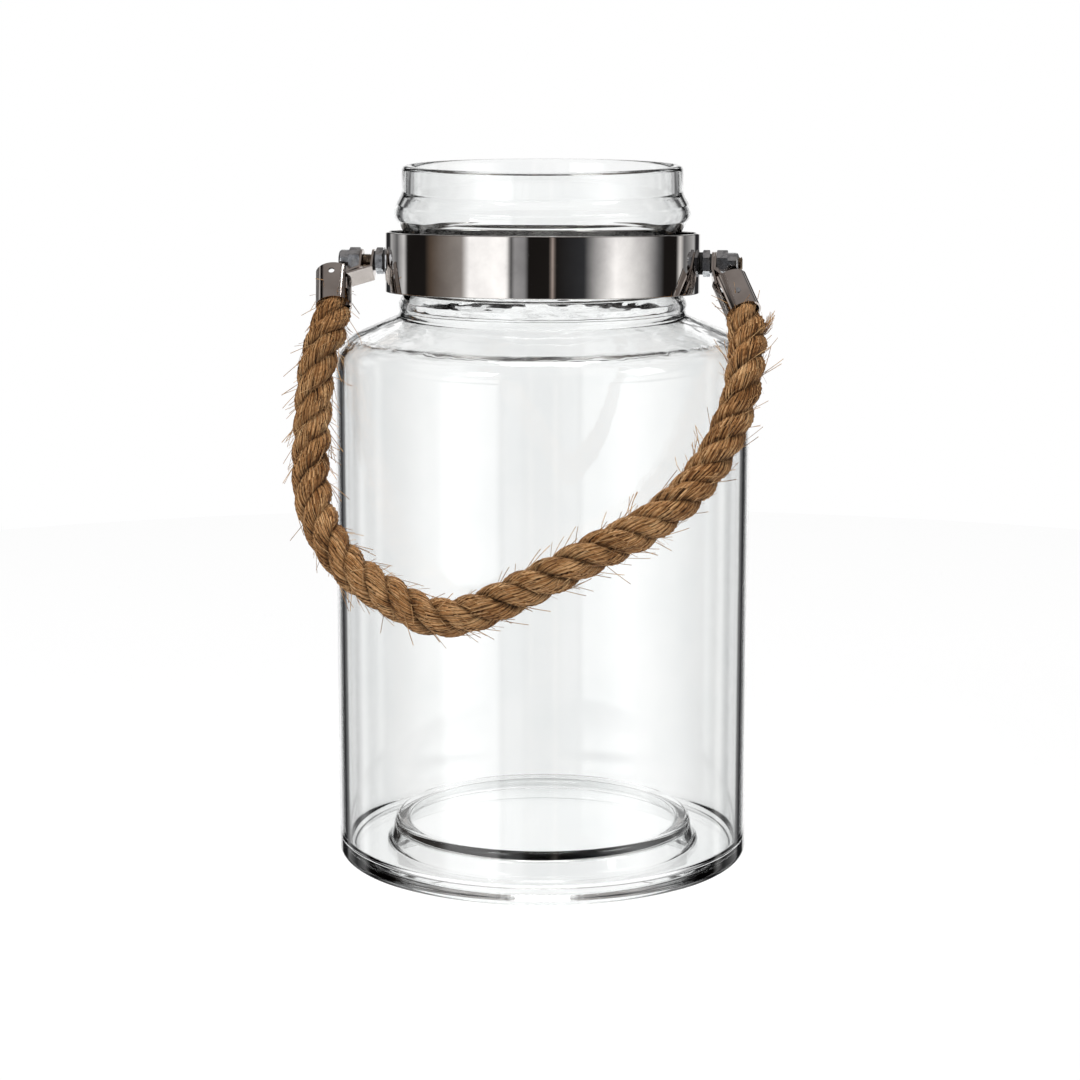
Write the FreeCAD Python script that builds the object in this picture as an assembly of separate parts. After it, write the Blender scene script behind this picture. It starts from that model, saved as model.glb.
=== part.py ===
"""Hanging lantern: a glass jar with a steel neck band and a rope handle that swings on two bolts.

Millimetres, +Z up, front at -Y, origin at the centre of the foot. The handle side named right is at +X.
Every piece is a separate solid, written to parts/NAME.step.
"""
import FreeCAD
import Part
import math
import os

Vector = FreeCAD.Vector
UP = Vector(0, 0, 1)
SIDES = {"left": -1, "right": 1}

# Glass jar
BODY_RADIUS = 90.0
JAR_HEIGHT = 302.5
WALL = 4.0
BASE_THICKNESS = 6.5
HEEL_ROUNDING = 4.0
FLOOR_ROUNDING = 4.5
SHOULDER_DROP = 63.0
SHOULDER_Z = JAR_HEIGHT - SHOULDER_DROP   # where the sloping shoulder would meet the neck
SHOULDER_SLOPE = 22.6         # degrees below level, outwards
SHOULDER_ROUNDING = 15.0
NECK_RADIUS = 59.5            # outside of the groove that the band hangs round
NECK_WALL = 4.0
GROOVE_LOW_Z = JAR_HEIGHT - 53.5
GROOVE_HIGH_Z = JAR_HEIGHT - 28.5
BEAD_Z = JAR_HEIGHT - 59.1
BEAD_RISE = 2.9               # corner of the small bead under the groove, before rounding
NECK_FOOT_RISE = 1.5          # how far the bead's lower side stands out of the groove's line
BULGE_RISE = 5.1              # corner of the bulge over the groove, before rounding
BULGE_Z = JAR_HEIGHT - 19.9
LIP_LOW_Z = JAR_HEIGHT - 11.7
LIP_RADIUS = NECK_RADIUS + 0.8
MOUTH_RADIUS = NECK_RADIUS - NECK_WALL
LIP_ROUNDING = 2.0
PUNT_MARGIN = 25.0            # from the body's side to the raised disc
PUNT_RADIUS = BODY_RADIUS - PUNT_MARGIN   # raised disc in the middle of the floor
PUNT_HEIGHT = 17.0
PUNT_THICKNESS = 5.0
PUNT_SLOPE = 2.5              # how far the disc's side leans outwards
PUNT_HOLLOW_RADIUS = PUNT_RADIUS - 5.0
FOOT_INNER_RADIUS = PUNT_RADIUS
PUNT_ROUNDING = 2.5

# Neck band
STUD_Z = JAR_HEIGHT - 41.5    # height of the bolts and of the handle's pivot
BAND_THICKNESS = 1.5
BAND_GAP = 7.0                # between the groove and the inside of the band
BAND_OUTER_RADIUS = NECK_RADIUS + BAND_GAP + BAND_THICKNESS
BAND_WIDTH = 25.7
BAND_EDGE_ROUNDING = 0.5
BAND_TURN = 6.0               # degrees; the band is turned on the neck, right side forwards
BAND_TIP = 2.7                # degrees; the loose band's front hangs higher than its back

# Bolts and what is on them
BOLT_RADIUS = 3.0
BOLT_HEAD_RADIUS = BOLT_RADIUS + 3.0
BOLT_HEAD_HEIGHT = 3.0
BOLT_HEAD_ROUNDING = 0.9
BOLT_REACH = 18.0             # how far the bolt's end stands out of the band
BOLT_TIP = BAND_OUTER_RADIUS + BOLT_REACH   # distance from the jar's axis to the bolt's end
PAD_RADIUS = BOLT_HEAD_RADIUS + 1.0
PAD_SKIRT = 1.6               # how far the pad's rim reaches over the bolt head
PAD_TO_GLASS = 0.3
THREAD_CLEARANCE = 0.05
BAND_HOLE_CLEARANCE = 0.15
RUBBER_WASHER_RADIUS = BOLT_RADIUS + 1.8
RUBBER_WASHER_THICKNESS = 1.1
NUT_WALL = 2.0                 # from the thread to the flats
NUT_ACROSS_FLATS = 2 * (BOLT_RADIUS + NUT_WALL)
JAM_NUT_HEIGHT = 3.1
NUT_CHAMFER = 0.5
PIVOT_WASHER_RADIUS = BOLT_RADIUS + 1.2
PIVOT_WASHER_THICKNESS = 0.7
LOCK_NUT_HEX_HEIGHT = 4.8
LOCK_NUT_COLLAR_HEIGHT = 4.6
LOCK_NUT_COLLAR_RADIUS = BOLT_RADIUS + 1.7
LOCK_NUT_COLLAR_ROUNDING = 1.4
INSERT_OUTER_RADIUS = BOLT_RADIUS + 0.9
INSERT_THICKNESS = 2.4
COLLAR_LIP = 0.9
COLLAR_LIP_RADIUS = BOLT_RADIUS + 0.5

# Rope caps
LEAN = 42.0                   # degrees from hanging straight down, forwards
CAP_OUTER_RADIUS = 7.8
CAP_WALL = 0.8
CAP_LENGTH = 18.0
EAR_THICKNESS = 0.9
EAR_HALF_WIDTH = BOLT_RADIUS + 2.0
EAR_TO_WASHER = 0.1           # side play of the ears on the bolt
PIVOT_CLEARANCE = 0.08        # running fit of the ears on the bolt
EAR_STRAIGHT = 6.45           # the ear stays square to the bolt this far from its axis
SEAM_WIDTH = 1.2
SEAM_ANGLE = 50.0             # degrees from the front, round towards the jar
HOLE_RADIUS = 1.3
HOLE_FROM_TOP = 4.2
PIN_RADIUS = 1.2
PIN_FROM_MOUTH = 6.8
PIN_LENGTH = 11.0
PIN_PROUD = 0.3

# Per side: the cap's mouth in the leaning plane, and how its two ears are bent
CAPS = {
    "left": {"mouth_out": BAND_OUTER_RADIUS + 20.4, "mouth_drop": 24.9, "tilt": -6.0, "ear_gap": 4.2,
             "inner_root": (BAND_OUTER_RADIUS + 16.0, 10.5), "outer_root": (BAND_OUTER_RADIUS + 18.0, 10.5),
             "hole_faces": 1},
    "right": {"mouth_out": BAND_OUTER_RADIUS + 19.3, "mouth_drop": 26.1, "tilt": 21.5, "ear_gap": 0.1,
              "inner_root": (BAND_OUTER_RADIUS + 7.2, 13.6), "outer_root": (BAND_OUTER_RADIUS + 15.0, 14.0),
              "hole_faces": -1},
}

# Rope
ROPE_RADIUS = 8.0
ROPE_SQUEEZE = 0.05           # clearance of the squeezed end inside the cap
EXIT_RUN = 18.0               # first and last straight run of the route
TANGENT_SHARE = 0.45          # share of the shorter run that each arc takes
ROPE_BENDS = [                # (x, y, drop below the bolts)
    (-96.0, -25.5, 38.5), (-97.5, -36.5, 67.5), (-97.5, -52.0, 96.0), (-84.0, -71.5, 118.5),
    (-60.5, -86.0, 131.5), (-40.5, -95.0, 139.0), (-15.5, -99.0, 128.5), (17.5, -98.5, 111.0),
    (48.0, -87.5, 97.5), (69.0, -73.0, 79.0), (81.0, -59.5, 55.5), (84.5, -51.5, 40.0),
]


def rounded_edges(points, radii):
    """Edges of the closed outline through points, with corner i rounded to radii[i] (0 is sharp)."""
    count = len(points)
    entries, exits, edges = [], [], []
    for i in range(count):
        corner = points[i]
        back = (points[i - 1] - corner).normalize()
        ahead = (points[(i + 1) % count] - corner).normalize()
        half = back.getAngle(ahead) / 2
        setback = radii[i] / math.tan(half) if radii[i] else 0.0
        entries.append(corner + back * setback)
        exits.append(corner + ahead * setback)
        if radii[i]:
            bisector = (back + ahead).normalize()
            middle = corner + bisector * (radii[i] / math.sin(half) - radii[i])
            edges.append(Part.Arc(entries[i], middle, exits[i]).toShape())
        if i:
            edges.append(Part.LineSegment(exits[i - 1], entries[i]).toShape())
    edges.append(Part.LineSegment(exits[-1], entries[0]).toShape())
    return edges


def turned_solid(profile):
    """Solid of revolution about Z from (radius, height, rounding) corners."""
    points = [Vector(radius, 0, height) for radius, height, _ in profile]
    edges = rounded_edges(points, [rounding for _, _, rounding in profile])
    face = Part.Face(Part.Wire(Part.__sortEdges__(edges)))
    return face.revolve(Vector(0, 0, 0), UP, 360)


def along_x(shape):
    """Turns a shape built up along +Z so that it points along +X."""
    shape.rotate(Vector(0, 0, 0), Vector(0, 1, 0), 90)
    return shape


def disc(radius, start, length, hole=0.0):
    """Round disc about the X axis from x=start, with a round hole through it."""
    axis = Vector(1, 0, 0)
    place = Vector(start, 0, 0)
    shape = Part.makeCylinder(radius, length, place, axis)
    if hole:
        shape = shape.cut(Part.makeCylinder(hole, length, place, axis))
    return shape


def shoulder_height(radius):
    """Height of the shoulder's outer slope at a radius."""
    return SHOULDER_Z - (radius - NECK_RADIUS) * math.tan(math.radians(SHOULDER_SLOPE))


def glass_jar():
    """Straight-sided jar with a pushed-up base, a sloping shoulder and a beaded, bulged neck."""
    inner_neck = NECK_RADIUS - NECK_WALL
    inner_body = BODY_RADIUS - WALL
    drop = WALL / math.cos(math.radians(SHOULDER_SLOPE))
    foot_radius = NECK_RADIUS + NECK_FOOT_RISE
    outside = [
        (0, PUNT_HEIGHT - PUNT_THICKNESS, 0),
        (PUNT_HOLLOW_RADIUS, PUNT_HEIGHT - PUNT_THICKNESS, PUNT_ROUNDING),
        (FOOT_INNER_RADIUS, 0, PUNT_ROUNDING),
        (BODY_RADIUS, 0, HEEL_ROUNDING),
        (BODY_RADIUS, shoulder_height(BODY_RADIUS), SHOULDER_ROUNDING),
        (foot_radius, shoulder_height(foot_radius), 3.0),
        (NECK_RADIUS + BEAD_RISE, BEAD_Z, 4.0),
        (NECK_RADIUS, GROOVE_LOW_Z, 2.0),
        (NECK_RADIUS, GROOVE_HIGH_Z, 2.5),
        (NECK_RADIUS + BULGE_RISE, BULGE_Z, 6.0),
        (LIP_RADIUS, LIP_LOW_Z, 2.5),
        (LIP_RADIUS, JAR_HEIGHT, LIP_ROUNDING),
    ]
    inside = [
        (MOUTH_RADIUS, JAR_HEIGHT, LIP_ROUNDING),
        (MOUTH_RADIUS, LIP_LOW_Z, 2.5),
        (inner_neck + BULGE_RISE, BULGE_Z, 4.0),
        (inner_neck, GROOVE_HIGH_Z, 3.0),
        (inner_neck, GROOVE_LOW_Z, 3.0),
        (inner_neck + BEAD_RISE, BEAD_Z, 3.0),
        (inner_neck + WALL / 2, shoulder_height(inner_neck + WALL / 2) - drop, 2.0),
        (inner_body, shoulder_height(inner_body) - drop, SHOULDER_ROUNDING - WALL),
        (inner_body, BASE_THICKNESS, FLOOR_ROUNDING),
        (PUNT_RADIUS + PUNT_SLOPE, BASE_THICKNESS, PUNT_ROUNDING),
        (PUNT_RADIUS, PUNT_HEIGHT, PUNT_ROUNDING),
        (0, PUNT_HEIGHT, 0),
    ]
    return turned_solid(outside + inside)


def neck_band():
    """Polished strip bent into a ring, with a hole for each bolt."""
    inner = BAND_OUTER_RADIUS - BAND_THICKNESS
    low = STUD_Z - BAND_WIDTH / 2
    high = STUD_Z + BAND_WIDTH / 2
    corners = [(inner, low), (BAND_OUTER_RADIUS, low), (BAND_OUTER_RADIUS, high), (inner, high)]
    ring = turned_solid([(radius, height, BAND_EDGE_ROUNDING) for radius, height in corners])
    hole = Part.makeCylinder(BOLT_RADIUS + BAND_HOLE_CLEARANCE, 2 * BOLT_TIP,
                             Vector(-BOLT_TIP, 0, STUD_Z), Vector(1, 0, 0))
    ring = ring.cut(hole)
    ring.rotate(Vector(0, 0, STUD_Z), Vector(1, 0, 0), -BAND_TIP)
    return turn_band(ring)


def turn_band(shape):
    """Turns the band, and all that it carries, to where it sits on the neck."""
    shape.rotate(Vector(0, 0, 0), UP, -BAND_TURN)
    return shape


def on_stud(shape, side):
    """Moves a piece built about the X axis onto one side's bolt axis."""
    if SIDES[side] < 0:
        shape.rotate(Vector(0, 0, 0), UP, 180)
    shape.translate(UP * STUD_Z)
    return turn_band(shape)


def bolt_head_seat():
    """Where the flat underside of the bolt head meets the band's curved inside."""
    inner = BAND_OUTER_RADIUS - BAND_THICKNESS
    return math.sqrt(inner ** 2 - BOLT_HEAD_RADIUS ** 2)


def bolt():
    """Round-headed bolt, its head inside the band."""
    seat = bolt_head_seat()
    head = disc(BOLT_HEAD_RADIUS, seat - BOLT_HEAD_HEIGHT, BOLT_HEAD_HEIGHT)
    rim = [edge for edge in head.Edges if abs(edge.CenterOfMass.x - (seat - BOLT_HEAD_HEIGHT)) < 0.01]
    head = head.makeFillet(BOLT_HEAD_ROUNDING, rim)
    shank = disc(BOLT_RADIUS, seat, BOLT_TIP - seat)
    tip = [edge for edge in shank.Edges if abs(edge.CenterOfMass.x - BOLT_TIP) < 0.01]
    return head.fuse(shank.makeFillet(BOLT_HEAD_ROUNDING, tip)).removeSplitter()


def bolt_pad():
    """Rubber cap over the bolt head, between it and the glass."""
    start = NECK_RADIUS + PAD_TO_GLASS
    head_face = bolt_head_seat() - BOLT_HEAD_HEIGHT
    cap = disc(PAD_RADIUS, start, head_face - start + PAD_SKIRT)
    recess = disc(BOLT_HEAD_RADIUS + THREAD_CLEARANCE, head_face, PAD_SKIRT)
    return cap.cut(recess)


def rubber_washer():
    """Black washer between the band and the jam nut."""
    return disc(RUBBER_WASHER_RADIUS, BAND_OUTER_RADIUS, RUBBER_WASHER_THICKNESS,
                BOLT_RADIUS + THREAD_CLEARANCE)


def hexagon(start, height):
    """Hexagonal prism about the X axis, its corners chamfered at both ends."""
    corner_radius = NUT_ACROSS_FLATS / math.sqrt(3)
    points = [Vector(0, corner_radius * math.sin(math.radians(60 * i)),
                     corner_radius * math.cos(math.radians(60 * i))) for i in range(7)]
    prism = Part.Face(Part.makePolygon(points)).extrude(Vector(height, 0, 0))
    prism.translate(Vector(start, 0, 0))
    turned = along_x(turned_solid([
        (0, 0, 0), (corner_radius - NUT_CHAMFER, 0, 0), (corner_radius, NUT_CHAMFER / 2, 0),
        (corner_radius, height - NUT_CHAMFER / 2, 0), (corner_radius - NUT_CHAMFER, height, 0),
        (0, height, 0)]))
    turned.translate(Vector(start, 0, 0))
    return prism.common(turned)


def jam_nut_start():
    """Distance from the jar's axis to the jam nut's inner face."""
    return BAND_OUTER_RADIUS + RUBBER_WASHER_THICKNESS


def jam_nut():
    """Thin nut that clamps the bolt to the band."""
    hole = disc(BOLT_RADIUS + THREAD_CLEARANCE, jam_nut_start(), JAM_NUT_HEIGHT)
    return hexagon(jam_nut_start(), JAM_NUT_HEIGHT).cut(hole)


def pivot_washer_start():
    """Distance from the jar's axis to the pivot washer's inner face."""
    return jam_nut_start() + JAM_NUT_HEIGHT


def pivot_washer():
    """Black nylon washer that the inner ear turns against."""
    return disc(PIVOT_WASHER_RADIUS, pivot_washer_start(), PIVOT_WASHER_THICKNESS,
                BOLT_RADIUS + THREAD_CLEARANCE)


def inner_ear_start():
    """Distance from the jar's axis to the inner ear's inner face."""
    return pivot_washer_start() + PIVOT_WASHER_THICKNESS + EAR_TO_WASHER


def outer_ear_start(side):
    """Distance from the jar's axis to the outer ear's inner face."""
    return inner_ear_start() + EAR_THICKNESS + CAPS[side]["ear_gap"]


def lock_nut_start(side):
    """Distance from the jar's axis to the lock nut's inner face."""
    return outer_ear_start(side) + EAR_THICKNESS + EAR_TO_WASHER


def insert_start(side):
    """Distance from the jar's axis to the nylon insert's inner face."""
    height = LOCK_NUT_HEX_HEIGHT + LOCK_NUT_COLLAR_HEIGHT
    return lock_nut_start(side) + height - COLLAR_LIP - INSERT_THICKNESS


def lock_nut(side):
    """Nut with a round collar that holds a nylon insert."""
    start = lock_nut_start(side)
    collar_start = start + LOCK_NUT_HEX_HEIGHT
    collar = disc(LOCK_NUT_COLLAR_RADIUS, collar_start, LOCK_NUT_COLLAR_HEIGHT)
    end = collar_start + LOCK_NUT_COLLAR_HEIGHT
    rim = [edge for edge in collar.Edges if abs(edge.CenterOfMass.x - end) < 0.01]
    collar = collar.makeFillet(LOCK_NUT_COLLAR_ROUNDING, rim)
    nut = hexagon(start, LOCK_NUT_HEX_HEIGHT).fuse(collar)
    thread = disc(BOLT_RADIUS + THREAD_CLEARANCE, start, insert_start(side) - start)
    recess = disc(INSERT_OUTER_RADIUS + THREAD_CLEARANCE, insert_start(side), INSERT_THICKNESS)
    mouth = disc(COLLAR_LIP_RADIUS, end - COLLAR_LIP, COLLAR_LIP)
    return nut.cut(thread).cut(recess).cut(mouth).removeSplitter()


def nylon_insert(side):
    """Nylon ring inside the lock nut's collar."""
    return disc(INSERT_OUTER_RADIUS, insert_start(side), INSERT_THICKNESS,
                BOLT_RADIUS + THREAD_CLEARANCE)


def strip(points, thickness):
    """Closed outline of a bent strip in the XZ plane, given its (out, drop) middle line."""
    line = [Vector(out, 0, -drop) for out, drop in points]
    near, far = [], []
    for i, point in enumerate(line):
        before = (point - line[i - 1]).normalize() if i else None
        after = (line[i + 1] - point).normalize() if i + 1 < len(line) else None
        direction = ((before or after) + (after or before)).normalize()
        square = Vector(-direction.z, 0, direction.x)
        reach = thickness / 2 / (math.cos(before.getAngle(after) / 2) if before and after else 1.0)
        near.append(point + square * reach)
        far.append(point - square * reach)
    return Part.Face(Part.makePolygon(near + far[::-1] + near[:1]))


def cap_axis(side):
    """Mouth centre and direction, towards the rope, of a cap in its hanging plane."""
    cap = CAPS[side]
    tilt = math.radians(cap["tilt"])
    direction = Vector(math.sin(tilt), 0, -math.cos(tilt))
    return Vector(cap["mouth_out"], 0, -cap["mouth_drop"]), direction


def rope_cap(side):
    """Rolled sheet cap for the rope's end, drawn out into two ears that hang on the bolt."""
    cap = CAPS[side]
    mouth, direction = cap_axis(side)
    top = mouth - direction * CAP_LENGTH
    outer = Part.makeCylinder(CAP_OUTER_RADIUS, CAP_LENGTH, top, direction)
    inner = Part.makeCylinder(CAP_OUTER_RADIUS - CAP_WALL, CAP_LENGTH, top, direction)
    reach = 2 * BOLT_TIP
    room = Part.makeBox(reach, 2 * EAR_HALF_WIDTH, reach, Vector(0, -EAR_HALF_WIDTH, -reach))
    room = room.fuse(disc(EAR_HALF_WIDTH, 0, reach)).fuse(outer)
    inner_x = inner_ear_start() + EAR_THICKNESS / 2
    outer_x = outer_ear_start(side) + EAR_THICKNESS / 2
    body = outer.cut(inner).cut(cap_seam(top, direction))
    for ear_x, root in ((inner_x, cap["inner_root"]), (outer_x, cap["outer_root"])):
        line = [(ear_x, -EAR_HALF_WIDTH), (ear_x, EAR_STRAIGHT), root]
        ear = strip(line, EAR_THICKNESS).extrude(Vector(0, 2 * CAP_OUTER_RADIUS, 0))
        ear.translate(Vector(0, -CAP_OUTER_RADIUS, 0))
        body = body.fuse(ear.common(room))
    body = body.cut(disc(BOLT_RADIUS + PIVOT_CLEARANCE, 0, reach))
    body = body.cut(cap_hole(side, top, direction))
    body = body.cut(pin_shape(side, THREAD_CLEARANCE))
    return body.removeSplitter()


def cap_seam(top, direction):
    """Gap between the rolled sheet's edges, on the side that faces the jar."""
    block = Part.makeBox(CAP_OUTER_RADIUS * 2, SEAM_WIDTH, CAP_LENGTH + 2,
                         Vector(0, -SEAM_WIDTH / 2, -CAP_LENGTH - 1))
    block.rotate(Vector(0, 0, 0), UP, -90 - SEAM_ANGLE)
    return aligned(block, top, direction)


def aligned(shape, place, direction):
    """Moves a shape built downwards from the origin onto a cap's axis."""
    shape.rotate(Vector(0, 0, 0), Vector(0, -1, 0), math.degrees(math.atan2(direction.x, -direction.z)))
    shape.translate(place)
    return shape


def cap_hole(side, top, direction):
    """Small punched hole near the cap's top, on one face only."""
    centre = top + direction * HOLE_FROM_TOP
    return Part.makeCylinder(HOLE_RADIUS, 2 * CAP_OUTER_RADIUS, centre,
                             Vector(0, -CAPS[side]["hole_faces"], 0))


def pin_shape(side, clearance=0.0):
    """Nail through the cap's wall, opposite the punched hole, into the rope's end."""
    mouth, direction = cap_axis(side)
    facing = Vector(0, CAPS[side]["hole_faces"], 0)
    centre = mouth - direction * PIN_FROM_MOUTH
    outside = centre + facing * (CAP_OUTER_RADIUS + PIN_PROUD)
    return Part.makeCylinder(PIN_RADIUS + clearance, PIN_LENGTH + clearance, outside, facing * -1)


def hang(shape, side):
    """Leans a piece of the handle forwards about the bolts and puts it on its side of the band."""
    shape.rotate(Vector(0, 0, 0), Vector(1, 0, 0), -LEAN)
    if SIDES[side] < 0:
        shape = shape.mirror(Vector(0, 0, 0), Vector(1, 0, 0))
    shape.translate(UP * STUD_Z)
    return turn_band(shape)


def hung_point(point, side):
    """Where a point of a cap's hanging plane ends up on the lantern."""
    return hang(Part.Vertex(point), side).Point


def rope_route():
    """Corners of the rope's middle line: inside the left cap, the bends, inside the right cap."""
    ends = {}
    for side in SIDES:
        mouth, direction = cap_axis(side)
        inside = mouth - direction * (EXIT_RUN * (1 - TANGENT_SHARE))
        ends[side] = [hung_point(inside, side), hung_point(inside + direction * EXIT_RUN, side)]
    bends = [Vector(x, y, STUD_Z - drop) for x, y, drop in ROPE_BENDS]
    return ends["left"] + bends + ends["right"][::-1]


def route_edges(corners):
    """Straight runs joined by tangent arcs, each arc as large as its two runs allow."""
    edges, radii = [], []
    start = corners[0]
    for i in range(1, len(corners) - 1):
        corner = corners[i]
        back = corners[i - 1] - corner
        ahead = corners[i + 1] - corner
        setback = TANGENT_SHARE * min(back.Length, ahead.Length)
        half_turn = (math.pi - back.getAngle(ahead)) / 2
        radius = setback / math.tan(half_turn)
        back.normalize()
        ahead.normalize()
        entry, leave = corner + back * setback, corner + ahead * setback
        middle = corner + (back + ahead).normalize() * (radius / math.cos(half_turn) - radius)
        edges.append(Part.LineSegment(start, entry).toShape())
        edges.append(Part.Arc(entry, middle, leave).toShape())
        radii.append(radius)
        start = leave
    edges.append(Part.LineSegment(start, corners[-1]).toShape())
    return edges, radii


def rope():
    """The whole rope: a plain round tube, squeezed smaller where it is inside the caps."""
    corners = rope_route()
    edges, radii = route_edges(corners)
    free_edges = edges[1:-1]
    path = Part.Wire(free_edges)
    start = free_edges[0].valueAt(free_edges[0].FirstParameter)
    section = Part.Wire([Part.makeCircle(ROPE_RADIUS, start, corners[1] - corners[0])])
    tube = path.makePipeShell([section], True, False)
    expected = math.pi * ROPE_RADIUS ** 2 * path.Length
    print("rope route, mm:", [tuple(round(value, 1) for value in corner) for corner in corners])
    print("rope radii, mm:", [round(radius, 1) for radius in radii])
    print("rope length, mm:", round(sum(edge.Length for edge in edges), 1))
    print("rope volume over section times length:", round(tube.Volume / expected, 4))
    plug_radius = CAP_OUTER_RADIUS - CAP_WALL - ROPE_SQUEEZE
    for end, run in ((corners[0], edges[0]), (corners[-1], edges[-1])):
        inwards = corners[1] - corners[0] if end is corners[0] else corners[-2] - corners[-1]
        tube = tube.fuse(Part.makeCylinder(plug_radius, run.Length, end, inwards))
    for side in SIDES:
        tube = tube.cut(hang(pin_shape(side, THREAD_CLEARANCE), side))
    return tube.removeSplitter()


def build():
    """All pieces by name."""
    pieces = {"glass_jar": glass_jar(), "neck_band": neck_band(), "rope": rope()}
    for side in SIDES:
        pieces[side + "_bolt"] = on_stud(bolt(), side)
        pieces[side + "_bolt_pad"] = on_stud(bolt_pad(), side)
        pieces[side + "_rubber_washer"] = on_stud(rubber_washer(), side)
        pieces[side + "_jam_nut"] = on_stud(jam_nut(), side)
        pieces[side + "_pivot_washer"] = on_stud(pivot_washer(), side)
        pieces[side + "_lock_nut"] = on_stud(lock_nut(side), side)
        pieces[side + "_nylon_insert"] = on_stud(nylon_insert(side), side)
        pieces[side + "_rope_cap"] = hang(rope_cap(side), side)
        pieces[side + "_rope_pin"] = hang(pin_shape(side), side)
    return pieces


os.makedirs("parts", exist_ok=True)
for name, shape in build().items():
    shape = shape.Solids[0] if len(shape.Solids) == 1 else shape
    print(name, "solids", len(shape.Solids), "valid", shape.isValid(), "volume", round(shape.Volume, 1))
    shape.exportStep(f"parts/{name}.step")
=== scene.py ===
"""Looks of a jar lantern: clear glass, a polished neck band, small hardware and a twisted rope handle."""
import logging
import math
from dataclasses import dataclass, field
from enum import Enum
from typing import Any, Iterable, Sequence

import bmesh
import bpy
import numpy as np
from mathutils import Matrix, Vector


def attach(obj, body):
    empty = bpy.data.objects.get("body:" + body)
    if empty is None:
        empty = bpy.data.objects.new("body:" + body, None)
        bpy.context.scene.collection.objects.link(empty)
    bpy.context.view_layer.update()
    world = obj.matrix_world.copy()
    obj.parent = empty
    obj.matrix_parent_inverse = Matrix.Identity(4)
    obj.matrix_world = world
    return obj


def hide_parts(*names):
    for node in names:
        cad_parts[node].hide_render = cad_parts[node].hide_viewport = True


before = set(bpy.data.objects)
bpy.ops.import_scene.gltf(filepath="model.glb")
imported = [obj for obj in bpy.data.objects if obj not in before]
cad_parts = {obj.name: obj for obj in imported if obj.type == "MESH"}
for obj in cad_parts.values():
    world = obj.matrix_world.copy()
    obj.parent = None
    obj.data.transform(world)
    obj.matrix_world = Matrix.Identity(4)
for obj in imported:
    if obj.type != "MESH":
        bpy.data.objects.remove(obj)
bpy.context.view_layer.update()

Colour = tuple[float, float, float, float]
Point = tuple[float, float, float]
Array = np.ndarray
LOG = logging.getLogger("lantern")
MM = 0.001


class Side(Enum):
    """Which side of the lantern a piece is on; the value points outwards along X."""

    LEFT = -1
    RIGHT = 1

    @property
    def word(self) -> str:
        """The side's name as node names spell it."""
        return self.name.lower()


class Wire:
    """An output socket of a shader tree that takes part in arithmetic."""

    def __init__(self, graph: "Graph", socket: bpy.types.NodeSocket | None) -> None:
        """Keeps the socket and the graph that new nodes go to."""
        self.graph = graph
        self.socket = socket

    def _math(self, operation: str, first: Any, second: Any) -> "Wire":
        """Adds one Math node.

        Args:
            operation: The node's operation.
            first: Left value or wire.
            second: Right value or wire.

        Returns:
            The node's result.
        """
        return self.graph.add("ShaderNodeMath", {"operation": operation}, {0: first, 1: second})

    def __add__(self, other: Any) -> "Wire":
        """Sum."""
        return self._math("ADD", self, other)

    def __sub__(self, other: Any) -> "Wire":
        """Difference."""
        return self._math("SUBTRACT", self, other)

    def __rsub__(self, other: Any) -> "Wire":
        """Difference, reflected."""
        return self._math("SUBTRACT", other, self)

    def __mul__(self, other: Any) -> "Wire":
        """Product."""
        return self._math("MULTIPLY", self, other)

    def largest(self, other: Any) -> "Wire":
        """The larger of two values."""
        return self._math("MAXIMUM", self, other)

    def below(self, limit: float) -> "Wire":
        """1 where the value is under the limit, else 0."""
        return self._math("LESS_THAN", self, limit)

    def fraction(self) -> "Wire":
        """What is left after the whole part."""
        return self._math("FRACT", self, 0.0)


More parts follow.
